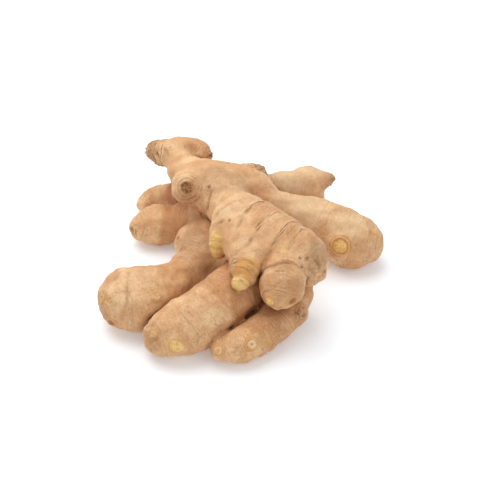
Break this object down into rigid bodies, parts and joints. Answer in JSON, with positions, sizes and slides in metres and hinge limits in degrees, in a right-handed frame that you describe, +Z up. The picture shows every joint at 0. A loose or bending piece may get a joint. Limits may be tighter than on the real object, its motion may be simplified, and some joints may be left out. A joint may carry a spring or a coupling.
{
  "type": "ginger root",
  "caption": "Whole fresh ginger root: a knobbly rhizome with stubby, ringed fingers in two tiers, pale buds at the tips and a round stem scar, resting on its lower fingers.",
  "frame": {"origin": "under the middle of the root, on the surface it rests on", "axes": "+X to the right along the widest spread of the fingers, +Y to the back where the small knobs point, +Z up"},
  "size_m": [0.1655, 0.1578, 0.0616],
  "materials": {
    "ginger_skin": "thin dry tan skin with a faint satin sheen, darker leaf-scar rings and pale yellow buds"
  },
  "bodies": {
    "root": {"ginger_rhizome": "ginger_skin"}
  },
  "joints": []
}
